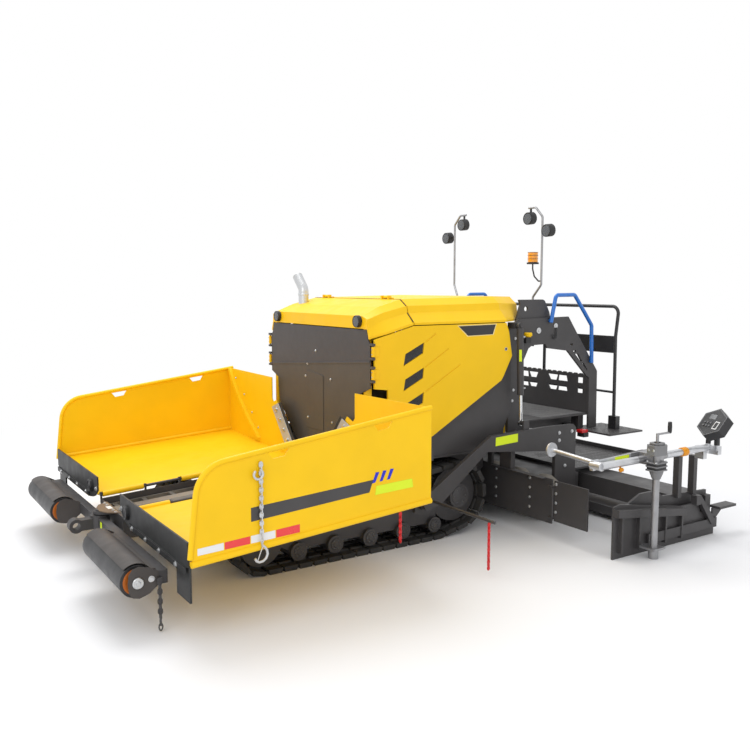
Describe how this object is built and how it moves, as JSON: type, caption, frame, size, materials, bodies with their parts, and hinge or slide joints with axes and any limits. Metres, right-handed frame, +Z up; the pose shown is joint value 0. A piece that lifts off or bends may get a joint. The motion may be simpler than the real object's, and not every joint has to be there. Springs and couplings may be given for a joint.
{
  "type": "asphalt paver",
  "caption": "Tracked asphalt paver with folding hopper wings, push rollers, stepped hood, arched operator stand, spreading augers and an extending screed.",
  "frame": {"origin": "ground level, midway between the push rollers' front faces and the rear walkway's edge, on the machine's centre plane", "axes": "+X forward to the hopper, +Y to the machine's left, +Z up"},
  "size_m": [4.5999, 4.1392, 2.489],
  "materials": {
    "yellow_paint": "satin yellow paint",
    "charcoal_paint": "satin charcoal paint",
    "black_paint": "semi-gloss black paint",
    "blue_paint": "gloss blue paint",
    "red_paint": "gloss red paint",
    "white_paint": "gloss white paint",
    "worn_steel": "steel worn bare by the mix",
    "bare_steel": "zinc plated tube",
    "chromed_rod": "hard chrome",
    "engine_iron": "painted iron",
    "track_rubber": "dull black rubber shoe pads",
    "black_plastic": "matte black",
    "amber_plastic": "clear amber moulding",
    "orange_steel": "painted ends, worn bare roller face"
  },
  "bodies": {
    "tractor": {"chassis_frame": "charcoal_paint", "conveyor": "worn_steel", "engine_block": "engine_iron", "hood_cap": "yellow_paint", "heat_shield": "charcoal_paint", "side_panels": "charcoal_paint", "exhaust_pipe": "bare_steel", "work_lamps": "black_plastic", "platform_deck": "charcoal_paint", "arch_frames": "charcoal_paint", "handrails": "blue_paint", "rear_rails": "black_paint", "light_masts": "bare_steel", "beacon": "amber_plastic", "track_left": "track_rubber", "track_right": "track_rubber", "track_frames": "charcoal_paint", "tow_brackets": "charcoal_paint", "guide_chains": "red_paint", "retaining_plates": "charcoal_paint"},
    "wing_left_body": {"wing_left": "yellow_paint", "apron_left": "charcoal_paint", "wing_chains_left": "white_paint"},
    "wing_right_body": {"wing_right": "yellow_paint", "apron_right": "charcoal_paint", "wing_chains_right": "white_paint"},
    "push_beam_body": {"push_beam": "charcoal_paint"},
    "push_roller_left_body": {"push_roller_left": "orange_steel"},
    "push_roller_right_body": {"push_roller_right": "orange_steel"},
    "hood_lid_body": {"hood_lid": "yellow_paint"},
    "side_door_left_body": {"side_door_left": "yellow_paint"},
    "side_door_right_body": {"side_door_right": "yellow_paint"},
    "screed": {"tow_arms": "charcoal_paint", "screed_body": "charcoal_paint"},
    "extension_left_body": {"extension_left": "charcoal_paint", "end_gate_left": "charcoal_paint", "gate_rig_left": "bare_steel"},
    "extension_right_body": {"extension_right": "charcoal_paint", "end_gate_right": "charcoal_paint", "gate_rig_right": "bare_steel"},
    "keeper_flap_left_body": {"keeper_flap_left": "charcoal_paint"},
    "keeper_flap_right_body": {"keeper_flap_right": "charcoal_paint"},
    "auger_left_body": {"auger_left": "worn_steel"},
    "auger_right_body": {"auger_right": "worn_steel"},
    "lift_barrel_left_body": {"lift_barrel_left": "charcoal_paint"},
    "lift_barrel_right_body": {"lift_barrel_right": "charcoal_paint"},
    "lift_rod_left_body": {"lift_rod_left": "chromed_rod"},
    "lift_rod_right_body": {"lift_rod_right": "chromed_rod"}
  },
  "joints": [
    {"name": "wing_left_fold", "type": "hinge", "parent": "tractor", "child": "wing_left_body", "pos_m": [2.01, 0.275, 0.412], "axis": [0.998, 0, -0.0629], "range_deg": [0, 56]},
    {"name": "wing_right_fold", "type": "hinge", "parent": "tractor", "child": "wing_right_body", "pos_m": [2.01, -0.275, 0.412], "axis": [-0.998, 0, 0.0629], "range_deg": [0, 56]},
    {"name": "push_beam_swing", "type": "hinge", "parent": "tractor", "child": "push_beam_body", "pos_m": [2.078, 0, 0.3], "axis": [0, 0, 1], "range_deg": [-3, 3]},
    {"name": "push_roller_left_spin", "type": "hinge", "parent": "push_beam_body", "child": "push_roller_left_body", "pos_m": [2.212, 0.827, 0.29], "axis": [0, 1, 0], "continuous": true},
    {"name": "push_roller_right_spin", "type": "hinge", "parent": "push_beam_body", "child": "push_roller_right_body", "pos_m": [2.212, -0.827, 0.29], "axis": [0, 1, 0], "continuous": true},
    {"name": "hood_lid_open", "type": "hinge", "parent": "tractor", "child": "hood_lid_body", "pos_m": [0.089, 0, 1.765], "axis": [0, 1, 0], "range_deg": [0, 45]},
    {"name": "side_door_left_open", "type": "hinge", "parent": "tractor", "child": "side_door_left_body", "pos_m": [0.436, 0.784, 1.3], "axis": [0, 0, -1], "range_deg": [0, 80]},
    {"name": "side_door_right_open", "type": "hinge", "parent": "tractor", "child": "side_door_right_body", "pos_m": [0.436, -0.784, 1.3], "axis": [0, 0, 1], "range_deg": [0, 80]},
    {"name": "screed_lift", "type": "hinge", "parent": "tractor", "child": "screed", "pos_m": [0.06, 0, 0.32], "axis": [0, 1, 0], "range_deg": [0, 6]},
    {"name": "extension_left_slide", "type": "slide", "parent": "screed", "child": "extension_left_body", "axis": [0, 1, 0], "range_m": [-0.47, 0]},
    {"name": "extension_right_slide", "type": "slide", "parent": "screed", "child": "extension_right_body", "axis": [0, -1, 0], "range_m": [-0.47, 0]},
    {"name": "keeper_flap_left_swing", "type": "hinge", "parent": "tractor", "child": "keeper_flap_left_body", "pos_m": [-0.788, 1.276, 0.3], "axis": [0, 0, -1], "range_deg": [0, 80]},
    {"name": "keeper_flap_right_swing", "type": "hinge", "parent": "tractor", "child": "keeper_flap_right_body", "pos_m": [-0.788, -1.276, 0.3], "axis": [0, 0, 1], "range_deg": [0, 80]},
    {"name": "auger_left_spin", "type": "hinge", "parent": "tractor", "child": "auger_left_body", "pos_m": [-0.955, 0.6, 0.305], "axis": [0, 1, 0], "continuous": true},
    {"name": "auger_right_spin", "type": "hinge", "parent": "tractor", "child": "auger_right_body", "pos_m": [-0.955, -0.6, 0.305], "axis": [0, 1, 0], "continuous": true},
    {"name": "lift_barrel_left_swing", "type": "hinge", "parent": "tractor", "child": "lift_barrel_left_body", "pos_m": [-0.88, 0.808, 1.545], "axis": [0, 1, 0], "range_deg": [-6, 1]},
    {"name": "lift_rod_left_slide", "type": "slide", "parent": "lift_barrel_left_body", "child": "lift_rod_left_body", "axis": [-0.0335, 0, -0.9994], "range_m": [-0.105, 0.01]},
    {"name": "lift_barrel_right_swing", "type": "hinge", "parent": "tractor", "child": "lift_barrel_right_body", "pos_m": [-0.88, -0.808, 1.545], "axis": [0, 1, 0], "range_deg": [-6, 1]},
    {"name": "lift_rod_right_slide", "type": "slide", "parent": "lift_barrel_right_body", "child": "lift_rod_right_body", "axis": [-0.0335, 0, -0.9994], "range_m": [-0.105, 0.01]}
  ],
  "couplings": [
    {"joint": "lift_barrel_left_swing", "follows": "screed_lift", "ratio": -0.73},
    {"joint": "lift_rod_left_slide", "follows": "screed_lift", "m_per_rad": -0.945},
    {"joint": "lift_barrel_right_swing", "follows": "screed_lift", "ratio": -0.73},
    {"joint": "lift_rod_right_slide", "follows": "screed_lift", "m_per_rad": -0.945}
  ]
}
